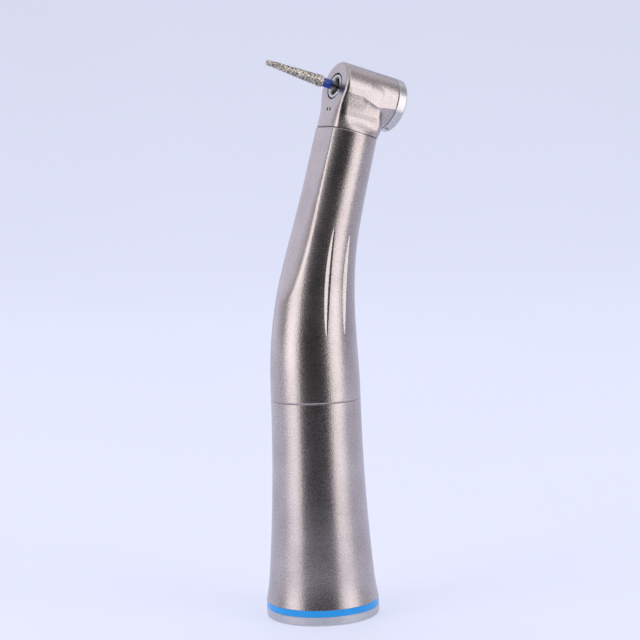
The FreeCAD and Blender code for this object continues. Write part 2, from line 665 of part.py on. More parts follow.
# ---------------------------------------------------------------- spray tubes
def spray_tube(name, side):
    """A thin tube from the spine's shoulder, past the knee and up the neck to the head's outlet."""
    body = new_body(name)
    x_low = 0 - dim("tube_side")
    path = [(x_low, shoulder - 5.0), (x_low, knee[1] - 0.2), along_neck(x_low, size(2.6)),
            along_neck(size(-3.02), size(7.2)), along_neck(size(-3.02), neck_end + 1.6)]
    path_sketch = new_sketch(body, "XZ_Plane", (size(0), size(0), size(side * -TUBE_GAP)))
    outline(path_sketch, path, closed=False)
    wall = new_sketch(body, "XY_Plane", (size(0), size(0), shoulder - 5.0))
    disc(wall, x_low, size(side * TUBE_GAP), dim("tube_radius"))
    disc(wall, x_low, size(side * TUBE_GAP), dim("tube_radius") - 0.12)
    pipe = add(body, "AdditivePipe", wall, Spine=path_sketch, Transition="Round corner")


spray_tube("water_tube", -1)
spray_tube("air_tube", 1)

# ---------------------------------------------------------------- check and write
doc.recompute()
bodies = [item for item in doc.Objects if item.TypeId == "PartDesign::Body"]
os.makedirs("parts", exist_ok=True)
faults = [item.Name for item in doc.Objects if "Invalid" in item.State or "Error" in item.State]
faults += [body.Label for body in bodies if body.Shape.isNull() or not body.Shape.isValid()]
if faults:
    raise RuntimeError("not built: " + ", ".join(faults))
for body in bodies:
    print(body.Label, len(body.Shape.Solids), round(body.Shape.Volume, 2), body.Shape.BoundBox)
    body.Shape.exportStep("parts/%s.step" % body.Label)
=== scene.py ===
"""Contra-angle dental handpiece: finishes, neck sleeve, head, button spring, diamond grit and studio."""

import json
import math

import bmesh
import bpy
import numpy as np
from mathutils import Matrix, Vector, noise


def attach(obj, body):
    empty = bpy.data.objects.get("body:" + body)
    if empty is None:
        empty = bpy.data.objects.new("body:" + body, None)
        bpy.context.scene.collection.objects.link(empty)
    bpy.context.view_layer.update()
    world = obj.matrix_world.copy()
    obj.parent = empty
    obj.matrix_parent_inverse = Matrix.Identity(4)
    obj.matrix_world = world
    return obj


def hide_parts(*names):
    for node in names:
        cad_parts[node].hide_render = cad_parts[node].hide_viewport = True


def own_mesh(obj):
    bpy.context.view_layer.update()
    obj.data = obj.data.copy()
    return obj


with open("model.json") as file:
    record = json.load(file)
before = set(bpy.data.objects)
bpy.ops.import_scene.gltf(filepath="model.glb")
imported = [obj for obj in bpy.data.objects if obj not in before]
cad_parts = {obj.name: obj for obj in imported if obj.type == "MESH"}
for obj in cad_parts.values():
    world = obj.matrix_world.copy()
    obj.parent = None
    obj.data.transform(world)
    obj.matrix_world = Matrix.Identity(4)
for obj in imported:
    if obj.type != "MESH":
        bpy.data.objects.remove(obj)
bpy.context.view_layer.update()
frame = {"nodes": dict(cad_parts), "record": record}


MM = 0.001


# ---------------------------------------------------------------- finishes
def linear(hex_code):
    """An sRGB hex colour as linear RGBA."""
    channels = [int(hex_code[i:i + 2], 16) / 255 for i in (0, 2, 4)]
    return [c / 12.92 if c <= 0.04045 else ((c + 0.055) / 1.055) ** 2.4 for c in channels] + [1.0]


def add_node(tree, kind, settings=None, links=None, **sockets):
    """A node with its properties, its socket values and its incoming links."""
    made = tree.nodes.new(kind)
    for key, value in (settings or {}).items():
        setattr(made, key, value)
    for key, value in sockets.items():
        made.inputs[key.replace("_", " ")].default_value = value
    for key, source in (links or {}).items():
        tree.links.new(source, made.inputs[key])
    return made


def new_material(name):
    material = bpy.data.materials.new(name)
    material.use_nodes = True
    tree = material.node_tree
    shader = tree.nodes["Principled BSDF"]
    where = tree.nodes.new("ShaderNodeTexCoord").outputs["Object"]
    return material, tree, shader, where


def per_metre(size_mm):
    """Texture scale that repeats every size_mm."""
    return 1 / (size_mm * MM)


CLOUD_GRAINS, CLOUD_SHARE = 40, 0.35


def metal(name, light, dark, roughness, spread, grain_mm, height_mm, stretch=(1, 1, 1)):
    """Bare or plated metal: tone and gloss vary with the grain left by how it was finished."""
    material, tree, shader, where = new_material(name)
    shader.inputs["Metallic"].default_value = 1.0
    placed = add_node(tree, "ShaderNodeMapping", links={"Vector": where}, Scale=stretch).outputs["Vector"]
    grain = add_node(tree, "ShaderNodeTexNoise", links={"Vector": placed},
                     Scale=per_metre(grain_mm), Detail=3.0, Roughness=0.6).outputs["Fac"]
    cloud = add_node(tree, "ShaderNodeTexNoise", links={"Vector": placed},
                     Scale=per_metre(grain_mm * CLOUD_GRAINS), Detail=2.0).outputs["Fac"]
    uneven = add_node(tree, "ShaderNodeMix", {"data_type": "FLOAT"}, {2: grain, 3: cloud})
    uneven.inputs[0].default_value = CLOUD_SHARE
    tone = add_node(tree, "ShaderNodeValToRGB", links={"Fac": uneven.outputs[0]})
    tone.color_ramp.elements[0].position = 0.36
    tone.color_ramp.elements[0].color = linear(dark)
    tone.color_ramp.elements[1].position = 0.64
    tone.color_ramp.elements[1].color = linear(light)
    tree.links.new(tone.outputs["Color"], shader.inputs["Base Color"])
    gloss = add_node(tree, "ShaderNodeMapRange", links={"Value": uneven.outputs[0]},
                     From_Min=0.3, From_Max=0.7, To_Min=roughness - spread, To_Max=roughness + spread)
    tree.links.new(gloss.outputs["Result"], shader.inputs["Roughness"])
    bump = add_node(tree, "ShaderNodeBump", links={"Height": grain}, Strength=1.0, Distance=height_mm * MM)
    tree.links.new(bump.outputs["Normal"], shader.inputs["Normal"])
    return material


def enamel(name, light, dark, roughness, coat):
    """Glossy baked colour over metal: even hue, faint unevenness of the coat."""
    material, tree, shader, where = new_material(name)
    cloud = add_node(tree, "ShaderNodeTexNoise", links={"Vector": where},
                     Scale=per_metre(1.5), Detail=2.0).outputs["Fac"]
    tone = add_node(tree, "ShaderNodeValToRGB", links={"Fac": cloud})
    tone.color_ramp.elements[0].color = linear(dark)
    tone.color_ramp.elements[1].color = linear(light)
    tree.links.new(tone.outputs["Color"], shader.inputs["Base Color"])
    shader.inputs["Roughness"].default_value = roughness
    shader.inputs["IOR"].default_value = 1.5
    shader.inputs["Coat Weight"].default_value = coat
    shader.inputs["Coat Roughness"].default_value = 0.06
    peel = add_node(tree, "ShaderNodeTexNoise", links={"Vector": where},
                    Scale=per_metre(0.8), Detail=1.0).outputs["Fac"]
    bump = add_node(tree, "ShaderNodeBump", links={"Height": peel}, Strength=0.3, Distance=0.01 * MM)
    tree.links.new(bump.outputs["Normal"], shader.inputs["Normal"])
    return material


def diamond_plating():
    """Diamond chips held in nickel: pale glints on the crystals, brown-grey metal between them."""
    material, tree, shader, where = new_material("nickel_bonded_diamond")
    shader.inputs["Metallic"].default_value = 1.0
    chips = add_node(tree, "ShaderNodeTexVoronoi", {"feature": "F1"}, {"Vector": where}, Scale=per_metre(0.2))
    tone = add_node(tree, "ShaderNodeValToRGB", links={"Fac": chips.outputs["Color"]})
    tone.color_ramp.elements[0].position = 0.15
    tone.color_ramp.elements[0].color = linear("50473E")
    tone.color_ramp.elements[1].position = 0.85
    tone.color_ramp.elements[1].color = linear("EFEAE2")
    tree.links.new(tone.outputs["Color"], shader.inputs["Base Color"])
    gloss = add_node(tree, "ShaderNodeMapRange", links={"Value": chips.outputs["Distance"]},
                     From_Min=0.0, From_Max=0.7, To_Min=0.25, To_Max=0.55)
    tree.links.new(gloss.outputs["Result"], shader.inputs["Roughness"])
    bump = add_node(tree, "ShaderNodeBump", links={"Height": chips.outputs["Distance"]}, Strength=0.6,
                    Distance=0.03 * MM)
    tree.links.new(bump.outputs["Normal"], shader.inputs["Normal"])
    return material


def studio_card(name, light, dark, glow):
    """Back-lit matte acrylic under and behind the object: almost even, with a faint drift of tone."""
    material, tree, shader, where = new_material(name)
    cloud = add_node(tree, "ShaderNodeTexNoise", links={"Vector": where},
                     Scale=per_metre(120), Detail=2.0).outputs["Fac"]
    tone = add_node(tree, "ShaderNodeValToRGB", links={"Fac": cloud})
    tone.color_ramp.elements[0].color = linear(dark)
    tone.color_ramp.elements[1].color = linear(light)
    tree.links.new(tone.outputs["Color"], shader.inputs["Base Color"])
    shader.inputs["Roughness"].default_value = 0.6
    shader.inputs["IOR"].default_value = 1.45
    shader.inputs["Emission Color"].default_value = linear("E4E8FD")
    shader.inputs["Emission Strength"].default_value = glow
    return material


# Bead-blasted stainless steel: soft broad reflections with a fine sparkle, grit drawn at 0.2 mm (real 0.05).
blasted_steel = metal("bead_blasted_stainless", "C6BCBC", "A39A9A", 0.27, 0.04, 0.2, 0.021)
# Satin-polished steel of the cap and the collar: bright with soft edges to its reflections.
satin_steel = metal("satin_polished_steel", "CBC9CC", "BAB8BB", 0.30, 0.03, 0.4, 0.003)
# Lathe-turned steel: fine rings round the axis, so the gloss is streaky.
turned_steel = metal("lathe_turned_steel", "B9B7B4", "93918E", 0.28, 0.06, 0.3, 0.006, stretch=(0.3, 0.3, 3))
# Ground and hardened shaft steel: smooth, slightly grey.
ground_steel = metal("ground_tool_steel", "C4C3C2", "A5A4A3", 0.18, 0.04, 0.25, 0.004)
# Milled gear steel: darker flanks with oil sheen.
gear_steel = metal("milled_gear_steel", "9B9894", "77736F", 0.30, 0.07, 0.2, 0.006)
# Hard drawn spring wire: dark and slightly streaked.
spring_wire = metal("drawn_spring_wire", "8C8B8A", "6A6968", 0.32, 0.06, 0.2, 0.005)
# Blackened chuck steel: dark warm oxide, half matt.
chuck_steel = metal("blackened_chuck_steel", "4A403A", "2C2521", 0.42, 0.08, 0.18, 0.006)
# Lapped bearing steel: bright and even.
bearing_steel = metal("lapped_bearing_steel", "CFCECD", "BBBAB9", 0.14, 0.03, 0.3, 0.002)
# Drawn stainless tube: dull bright with a lengthwise drag.
tube_steel = metal("drawn_stainless_tube", "B5B4B2", "989694", 0.26, 0.05, 0.3, 0.004, stretch=(2, 2, 0.3))
# Enamelled band round the sleeve: clear bright blue under a gloss coat.
ring_enamel = enamel("blue_ring_enamel", "00A6F8", "0097EC", 0.3, 0.12)
# Paint band on the bur shank: deep blue, thin and glossy.
band_enamel = enamel("blue_band_enamel", "1650C4", "0D3AA0", 0.3, 0.15)
grit_finish = diamond_plating()

FINISH = {
    "satin_shell": blasted_steel, "polished_collar": satin_steel, "polished_cap": satin_steel,
    "blue_ring": ring_enamel, "inner_steel": turned_steel, "spring_steel": spring_wire,
    "gear_steel": gear_steel, "shaft_steel": ground_steel, "chuck_steel": chuck_steel,
    "bearing_steel": bearing_steel, "ball_steel": bearing_steel, "bur_steel": ground_steel,
    "blue_band": band_enamel, "diamond_grit": grit_finish, "tube_steel": tube_steel,
}
for part in frame["record"]["subparts"]:
    for holder in frame["nodes"][part["node"]].material_slots:
        holder.material = FINISH[part["material_slot"]]


# ---------------------------------------------------------------- mesh helpers
def closed_rings(name, rings, body, slot_name, sharp=35):
    """A mesh skinned over rings of equal length, the last joined back to the first."""
    count = len(rings[0])
    points = np.concatenate(rings)
    total = len(rings)
    faces = [(k * count + j, k * count + (j + 1) % count,
              (k + 1) % total * count + (j + 1) % count, (k + 1) % total * count + j)
             for k in range(total) for j in range(count)]
    mesh = bpy.data.meshes.new(name)
    mesh.from_pydata([tuple(point) for point in points], [], faces)
    mesh.shade_smooth()
    mesh.set_sharp_from_angle(angle=math.radians(sharp))
    piece = bpy.data.objects.new(name, mesh)
    bpy.context.collection.objects.link(piece)
    mesh.materials.append(FINISH[slot_name])
    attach(piece, body)
    return piece


# ---------------------------------------------------------------- neck sleeve
# Lengths here are millimetres; s runs along the sleeve's axis from the seam with the rear sleeve.
LEAN = math.radians(16)
BUR_TILT = math.radians(18.5)
SEAM = 38.6
KNEE = 57.5
BEND_HALF = 12.0
NECK_TOP = 28.54
HEAD_UP = 35.8
BEND_RADIUS = BEND_HALF / math.tan(LEAN / 2)
BEND_LOW = KNEE - BEND_HALF - SEAM
BEND_HIGH = BEND_LOW + BEND_RADIUS * LEAN
NECK_RUN = BEND_HIGH + NECK_TOP - BEND_HALF
HEAD = np.array((HEAD_UP * math.sin(LEAN), 0.0, KNEE + HEAD_UP * math.cos(LEAN)))

SECTION_S = (0.12, BEND_LOW, BEND_LOW + (BEND_HIGH - BEND_LOW) / 3, BEND_LOW + (BEND_HIGH - BEND_LOW) * 2 / 3,
             BEND_HIGH, (BEND_HIGH + NECK_RUN) / 2, NECK_RUN)
SECTION_R = (7.92, 7.76, 7.2, 6.4, 5.86, 5.58, 5.48)
outer_radius = np.polynomial.Polynomial.fit(SECTION_S, SECTION_R, 5)

FACE_OUT = 4.2
FACET_FROM, FACET_TO = 4.8, 41.0
FACET_HOLLOW_RADIUS = 400.0
RIDGE_S, RIDGE_WIDTH = (8, 22, 34, 42, 47), (5.5, 4.0, 1.8, 0.8, 0.5)
END_BEVEL = 0.07
FLAT_STEPS, RIDGE_STEPS, SIDE_STEPS, GROOVE_STEPS = 24, 14, 36, 130
GROOVES_FROM, GROOVES_TO = math.radians(68), math.radians(121)
RING_STEP = 0.25


def axis_frame(s):
    """Centre and lean of the sleeve's axis at s."""
    if s < BEND_LOW:
        return np.array((0.0, 0.0, SEAM + s)), 0.0
    if s < BEND_HIGH:
        turn = (s - BEND_LOW) / BEND_RADIUS
        return np.array((BEND_RADIUS * (1 - math.cos(turn)), 0.0,
                         SEAM + BEND_LOW + BEND_RADIUS * math.sin(turn))), turn
    up = s - BEND_HIGH + BEND_HALF
    return np.array((up * math.sin(LEAN), 0.0, KNEE + up * math.cos(LEAN))), LEAN


def on_face(down):
    """The point `down` the head's flat face from the bur axis."""
    return HEAD + np.array((-FACE_OUT * math.cos(BUR_TILT) - down * math.sin(BUR_TILT), 0.0,
                            FACE_OUT * math.sin(BUR_TILT) - down * math.cos(BUR_TILT)))


def hollow_centre():
    """Centre of the long shallow arc that hollows the facet, out on the bur side."""
    top, low = on_face(FACET_FROM), on_face(FACET_TO)
    chord = low - top
    length = np.linalg.norm(chord)
    outward = np.array((chord[2], 0.0, -chord[0])) / length
    return (top + low) / 2 + outward * math.sqrt(FACET_HOLLOW_RADIUS ** 2 - length ** 2 / 4)


FACET_CENTRE = hollow_centre()


def facet_distance(centre, turn):
    """How far the facet lies from the axis at this section."""
    outward = np.array((-math.cos(turn), 0.0, math.sin(turn)))
    away = centre - FACET_CENTRE
    along = away @ outward
    return -along - math.sqrt(along ** 2 - away @ away + FACET_HOLLOW_RADIUS ** 2)


def section_angles(edge, half_ridge):
    """Angles round a section, measured from the facet's middle, crowded at the two ridges."""
    edge = max(edge, half_ridge + 0.05)
    flat = np.linspace(0, edge - half_ridge, FLAT_STEPS // 2, endpoint=False)
    ridge = np.linspace(edge - half_ridge, edge + half_ridge, RIDGE_STEPS, endpoint=False)
    grooves_from = max(GROOVES_FROM, edge + half_ridge + 0.1)
    before = np.linspace(edge + half_ridge, grooves_from, SIDE_STEPS, endpoint=False)
    grooves = np.linspace(grooves_from, GROOVES_TO, GROOVE_STEPS, endpoint=False)
    after = np.linspace(GROOVES_TO, math.pi, SIDE_STEPS)
    half = np.concatenate((flat, ridge, before, grooves, after))
    return np.concatenate((half, -half[-2:0:-1]))


# Each groove is a crescent with one long wall and one short one; the two grooves of a flank face each other.
FLUTE_HALF, FLUTE_LEAN = 0.48, 0.42
FLUTE_DEPTHS = (0.17, 0.27)
FLUTE_SAMPLES, FLUTE_MIDDLE, FLUTE_REACH = 121, 59, 12
FLUTES = (((-1.23, -7.50, 50.0), (-0.15, -6.42, 59.5), (1.94, -5.70, 69.0)),
          ((2.40, -7.23, 50.1), (3.20, -6.24, 58.8), (4.97, -5.56, 67.6)))


def flute_lines():
    """Points along each crescent groove, how open it is there, its depth and its gentler side."""
    lines = []
    leans = (FLUTE_LEAN, -FLUTE_LEAN)
    for (low, middle, high), depth, lean in zip(FLUTES, FLUTE_DEPTHS, leans):
        low, middle, high = (np.array(point) for point in (low, middle, high))
        bend = 2 * middle - (low + high) / 2
        t = np.linspace(0, 1, FLUTE_SAMPLES)[:, None]
        curve = low * (1 - t) ** 2 + bend * 2 * t * (1 - t) + high * t ** 2
        opening = np.sin(math.pi * t[:, 0]) ** 0.6
        for side in (1, -1):
            lines.append((curve * (1, side, 1), opening, depth, lean))
    return lines


def flute_dent(points):
    """How far the crescent grooves push each point in."""
    dent = np.zeros(len(points))
    for curve, opening, depth, lean in flute_lines():
        near = (np.abs(points[:, 2] - FLUTE_MIDDLE) < FLUTE_REACH) & (points[:, 1] * curve[0, 1] > 0)
        chosen = np.nonzero(near)[0]
        gaps = points[chosen][:, None, (0, 2)] - curve[None, :, (0, 2)]
        spans = np.linalg.norm(gaps, axis=2)
        nearest = spans.argmin(axis=1)
        across = spans[np.arange(len(chosen)), nearest]
        wide = np.maximum(opening[nearest], 0.02)
        signed = np.sign(points[chosen, 0] - curve[nearest, 0]) * across / (FLUTE_HALF * wide)
        slope = np.where(signed < lean, (lean - signed) / (1 + lean), (signed - lean) / (1 - lean))
        dent[chosen] += depth * wide * np.clip(1 - slope ** 1.2, 0, None)
    return dent


def ways_round(angles, turn):
    """Unit directions out from the axis at those angles from the facet's middle."""
    across = np.array((math.cos(turn), 0.0, -math.sin(turn)))
    return -np.cos(angles)[:, None] * across + np.sin(angles)[:, None] * np.array((0.0, 1.0, 0.0))


def outer_ring(s, inset):
    """The outer section at s, with the facet's two ridges rounded over."""
    centre, turn = axis_frame(s)
    radius = float(outer_radius(s)) - inset
    facet = facet_distance(centre, turn) - inset
    edge = math.acos(min(facet / radius, 1.0))
    ridge = float(np.interp(s, RIDGE_S, RIDGE_WIDTH))
    half_ridge = ridge / 2 / radius
    angles = section_angles(edge, half_ridge)
    flat = np.where(np.cos(angles) > 0.05, facet / np.maximum(np.cos(angles), 0.05), 99.0)
    soft = max(ridge / 2 * math.tan(edge), 0.02)
    mixed = np.clip(0.5 + 0.5 * (flat - radius) / soft, 0, 1)
    reach = flat * (1 - mixed) + radius * mixed - soft * mixed * (1 - mixed)
    directions = ways_round(angles, turn)
    return centre + directions * reach[:, None], directions


def bore_ring(x, z, turn, radius):
    return np.array((x, 0.0, z)) + ways_round(section_angles(1.0, 0.05), turn) * radius


NECK_BORES = ((NECK_TOP, 3.55), (18.0, 3.55), (7.0, 3.55), (3.2, 5.0))
STRAIGHT_BORES = ((KNEE - 3, 5.0), (SEAM + 6.5, 5.0), (SEAM + 5, 6.9), (SEAM, 6.9))


def neck_rings():
    """Rings up the outside of the sleeve and back down its stepped bore."""
    run = list(np.arange(END_BEVEL, NECK_RUN - END_BEVEL, RING_STEP)) + [NECK_RUN - END_BEVEL]
    rings = [outer_ring(0.0, END_BEVEL)[0]]
    for s in run:
        points, directions = outer_ring(s, 0.0)
        rings.append(points - directions * flute_dent(points)[:, None])
    rings.append(outer_ring(NECK_RUN, END_BEVEL)[0])
    along = [(up * math.sin(LEAN), KNEE + up * math.cos(LEAN), LEAN, radius) for up, radius in NECK_BORES]
    straight = [(0.0, z, 0.0, radius) for z, radius in STRAIGHT_BORES]
    rings += [bore_ring(*station) for station in along + straight]
    return [ring * MM for ring in rings]


neck = closed_rings("neck_sleeve_skin", neck_rings(), "housing", "satin_shell", sharp=55)
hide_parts("neck_sleeve")


# ---------------------------------------------------------------- head
# Distances in the head are measured forward along the bur axis, across, and up in its plane (millimetres).
HEAD_FORWARD = np.array((-math.cos(BUR_TILT), 0.0, math.sin(BUR_TILT)))
HEAD_ACROSS = np.array((0.0, 1.0, 0.0))
HEAD_RISE = np.array((math.sin(BUR_TILT), 0.0, math.cos(BUR_TILT)))
STEM_OFF = BUR_TILT - LEAN
STEM_LOW = NECK_TOP - HEAD_UP
BARREL_BACK, BARREL_BACK_R, BARREL_FRONT_R = -6.24, 4.8, 4.5
# How low the barrel's flanks are carried before they turn under, from the back to the front.
EDGE_AT, EDGE_RISE = (BARREL_BACK, -2.8, 0.5), (-1.2, -1.95, -1.0)
RIM, END_LIP, SEAM_GAP = 0.6, 0.06, 0.06
JOIN_AT, STEM_JOIN = (-4.0, -2.2, -0.5), (0.25, 0.8, 1.2)
CELL = 0.11


def blend_between(value, low, high):
    t = np.clip((value - low) / (high - low), 0, 1)
    return t * t * (3 - 2 * t)


def both(first, second, radius):
    """Inside both shapes, with the edge between them rounded."""
    inner = np.maximum(first + radius, second + radius)
    outer = np.hypot(np.maximum(first + radius, 0), np.maximum(second + radius, 0))
    return outer + np.minimum(inner, 0) - radius


def either(first, second, radius):
    """Inside either shape, with the valley between them filled."""
    mixed = np.clip(0.5 + 0.5 * (second - first) / radius, 0, 1)
    return second * (1 - mixed) + first * mixed - radius * mixed * (1 - mixed)


def barrel_distance(forward, across, rise):
    """The bearing barrel, with its flanks carried down to an edge at the back."""
    radius = np.interp(forward, (BARREL_BACK, FACE_OUT), (BARREL_BACK_R, BARREL_FRONT_R))
    reach = np.hypot(across, rise)
    edge = np.interp(forward, EDGE_AT, EDGE_RISE)
    span = np.hypot(radius, edge)
    open_half = np.arccos(radius / span)
    middle = np.arctan2(-edge, radius)
    angle = np.arctan2(-rise, np.abs(across))
    facets = np.maximum(np.abs(across) * np.cos(middle - open_half) - rise * np.sin(middle - open_half),
                        np.abs(across) * np.cos(middle + open_half) - rise * np.sin(middle + open_half))
    in_sector = np.abs(angle - middle) < open_half
    return np.where(in_sector, facets, reach) - radius


def either_way(first, second, share):
    """A shape part of the way from the first to the second."""
    return first * (1 - share) + second * share


# How far out each side of the stem lies at those heights from the bur axis.
FLANK_AT, FLANK_OUT = (-7.3, -6, -4.8, -3.2, -1.8, 0), (4.3, 4.1, 4.0, 4.02, 4.15, 4.35)
SPLAY_AT, SPLAY = (-4, 0), (6.2, 1.5)
REAR_AT, REAR_OUT = (-7.3, -5.6, -4.0, -2.0), (5.3, 4.75, 4.4, 4.25)
FRONT_AT, FRONT_RADIUS = (-7.3, -4.8, -3.2, -1.8, 0), (5.38, 5.42, 5.58, 5.82, 6.15)
SEAM_RADIUS, STEM_CORNER, FRONT_CORNER = 5.48, 1.5, 0.5


def stem_distance(back, across, up):
    """The stem: round at the neck seam, then flat-flanked behind a rounded front."""
    splay = np.radians(np.interp(up, SPLAY_AT, SPLAY))
    flank = ((np.abs(across) - np.interp(up, FLANK_AT, FLANK_OUT)) * np.cos(splay)
             - (back + FACE_OUT) * np.sin(splay))
    rear = back - np.interp(up, REAR_AT, REAR_OUT)
    front = np.hypot(across, np.minimum(back, 0)) - np.interp(up, FRONT_AT, FRONT_RADIUS)
    squared = both(both(flank, rear, STEM_CORNER), front, FRONT_CORNER)
    share = blend_between(up, STEM_LOW - 0.7, STEM_LOW + 2.6)
    return either_way(np.hypot(across, back) - SEAM_RADIUS, squared, share)


# Bores along the bur axis (how far forward each one reaches, radius) and down the stem (how far up, radius).
NOSE_BORE, HEAD_BORES = 2.38, ((3.49, 3.19), (-5.12, 3.66))
STEM_BORES = ((-4.96, 3.55), (-3.4, 2.52), (0, 2.15))
STEM_TOP = 1.6
OUTLET_SIDE, OUTLET_DOWN, OUTLET_SLANT = 0.5, 4.18, 0.35
OUTLET_HALF, OUTLET_TALL, OUTLET_DEPTH = 0.22, 0.32, 1.4
FAR = 99


def head_distance(forward, across, rise):
    """Negative inside the head's metal."""
    up = rise * math.cos(STEM_OFF) + forward * math.sin(STEM_OFF)
    back = rise * math.sin(STEM_OFF) - forward * math.cos(STEM_OFF)
    stem = both(stem_distance(back, across, up), up - STEM_TOP, STEM_TOP)
    stem = both(stem, STEM_LOW + SEAM_GAP - up, END_LIP)
    barrel = both(barrel_distance(forward, across, rise), BARREL_BACK - forward, 0.06)
    joined = either(barrel, stem, np.interp(forward, JOIN_AT, STEM_JOIN))
    solid = both(joined, forward - FACE_OUT, RIM)
    reach = np.hypot(across, rise)
    hollow = reach - NOSE_BORE
    for limit, radius in HEAD_BORES:
        hollow = np.minimum(hollow, np.where(forward < limit, reach - radius, FAR))
    side = np.hypot(across, back)
    for limit, radius in STEM_BORES:
        hollow = np.minimum(hollow, np.where(up < limit, side - radius, FAR))
    for hand in (-1, 1):
        aside = across - OUTLET_SIDE * hand
        outlet = np.hypot(aside / OUTLET_HALF, (rise + OUTLET_DOWN - OUTLET_SLANT * aside) / OUTLET_TALL) - 1
        hollow = np.minimum(hollow, np.maximum(outlet * OUTLET_HALF, FACE_OUT - OUTLET_DEPTH - forward))
    return np.maximum(solid, -hollow)


def surface_of(distance, low, high, cell):
    """Points and quads that follow distance == 0, one point in each grid cell that it crosses."""
    axes = [np.arange(a, b + cell, cell) for a, b in zip(low, high)]
    grid = np.stack(np.meshgrid(*axes, indexing="ij"), axis=-1)
    value = distance(grid[..., 0], grid[..., 1], grid[..., 2])
    inside = value < 0
    corners = [inside[i:inside.shape[0] - 1 + i, j:inside.shape[1] - 1 + j, k:inside.shape[2] - 1 + k]
               for i in (0, 1) for j in (0, 1) for k in (0, 1)]
    crossed = sum(corner.astype(int) for corner in corners)
    live = (crossed > 0) & (crossed < 8)
    number = np.full(live.shape, -1)
    number[live] = np.arange(live.sum())
    start = np.argwhere(live) * cell + np.array(low) + cell / 2
    points = start.copy()
    tiny = cell * 0.05
    for _ in range(5):
        here = distance(*points.T)
        slope = np.stack([(distance(*(points + tiny * step).T) - distance(*(points - tiny * step).T))
                          / (2 * tiny) for step in np.eye(3)], axis=1)
        points -= slope * (here / np.maximum((slope ** 2).sum(axis=1), 0.2))[:, None]
        points = np.clip(points, start - cell * 0.75, start + cell * 0.75)
    faces = []
    for axis in range(3):
        first, second = [other for other in range(3) if other != axis]
        ahead = np.roll(inside, -1, axis=axis)
        change = inside != ahead
        for trim in (first, second):
            change[tuple(slice(0, 1) if other == trim else slice(None) for other in range(3))] = False
            change[tuple(slice(-1, None) if other == trim else slice(None) for other in range(3))] = False
        change[tuple(slice(-1, None) if other == axis else slice(None) for other in range(3))] = False
        spots = np.argwhere(change)
        step_a, step_b = np.eye(3, dtype=int)[first], np.eye(3, dtype=int)[second]
        quad = [number[tuple((spots + shift).T)] for shift in (-step_a - step_b, -step_b, spots * 0, -step_a)]
        quad = np.stack(quad, axis=1)
        outward = inside[tuple(spots.T)] != (axis == 1)
        quad[~outward] = quad[~outward][:, ::-1]
        faces.append(quad)
    return points, np.concatenate(faces)


def head_skin():
    """The head's outer skin and bores, as one closed mesh."""
    low, high = (BARREL_BACK - 0.3, -5.9, -8.2), (FACE_OUT + 0.3, 5.9, 5.1)
    points, faces = surface_of(head_distance, low, high, CELL)
    placed = HEAD + points @ np.stack((HEAD_FORWARD, HEAD_ACROSS, HEAD_RISE))
    mesh = bpy.data.meshes.new("head_skin")
    mesh.from_pydata((placed * MM).tolist(), [], faces.tolist())
    made = bmesh.new()
    made.from_mesh(mesh)
    bmesh.ops.recalc_face_normals(made, faces=made.faces)
    made.to_mesh(mesh)
    made.free()
    mesh.shade_smooth()
    mesh.set_sharp_from_angle(angle=math.radians(50))
    piece = bpy.data.objects.new("head_skin", mesh)
    bpy.context.collection.objects.link(piece)
    mesh.materials.append(FINISH["satin_shell"])
    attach(piece, "housing")
    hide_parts("head_housing")


head_skin()


def button_coil():
    """The button's return spring, copied from the CAD part into a mesh of its own on the housing."""
    source = frame["nodes"]["button_spring"]
    mesh = source.data.copy()
    mesh.transform(source.matrix_world)
    piece = bpy.data.objects.new("button_coil", mesh)
    bpy.context.collection.objects.link(piece)
    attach(piece, "housing")
    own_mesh(piece)
    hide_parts("button_spring")


button_coil()


# ---------------------------------------------------------------- diamond grit
GRIT_LOW, GRIT_TIP, GRIT_RADIUS, GRIT_END = 6.8, 18.15, 1.08, 0.5
CHIP, CHIP_HEIGHT = 0.2, 0.08
GRIT_ROUND, GRIT_STEP = 96, 0.07


def grit_rings():
    """A round-ended cylinder whose surface is covered in chips."""
    end = GRIT_TIP - GRIT_END
    side = [(z, np.interp(z, (GRIT_LOW, end), (GRIT_RADIUS, GRIT_END)) - CHIP_HEIGHT)
            for z in np.arange(GRIT_LOW + 0.12, end, GRIT_STEP)]
    nose = GRIT_END - CHIP_HEIGHT
    tip = [(end + nose * math.sin(a), nose * math.cos(a)) for a in np.linspace(0, 1.54, 14)]
    foot = [(GRIT_LOW + 0.4, 0.05), (GRIT_LOW + 0.4, 0.6), (GRIT_LOW, 0.62), (GRIT_LOW, GRIT_RADIUS - 0.2)]
    side_ways = np.array((0.0, 1.0, 0.0))
    up_ways = np.cross(HEAD_FORWARD, side_ways)
    rings = []
    for count, (z, radius) in enumerate(foot + side + tip):
        ring = []
        steep = max(0.0, z - end) / nose
        for j in range(GRIT_ROUND):
            angle = 2 * math.pi * j / GRIT_ROUND
            way = math.cos(angle) * side_ways + math.sin(angle) * up_ways
            spot = HEAD + HEAD_FORWARD * z + way * radius
            lift = 0.0
            if count >= len(foot):
                spans = noise.voronoi(Vector(spot) / CHIP)[0]
                lift = CHIP_HEIGHT * min(1.0, 2.2 * (spans[1] - spans[0]))
            ring.append(spot + (HEAD_FORWARD * steep + way * math.sqrt(max(0.0, 1 - steep ** 2))) * lift)
        rings.append(np.array(ring) * MM)
    return rings


grit = closed_rings("bur_grit", grit_rings(), "bur", "diamond_grit", sharp=50)
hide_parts("bur_diamond")


# ---------------------------------------------------------------- stage, light and camera
SWEEP_FRONT, SWEEP_FLAT, SWEEP_BEND, SWEEP_TOP, SWEEP_HALF = 0.08, 0.55, 0.5, 1.3, 1.6
SHOOTING_TURN = math.radians(-27)


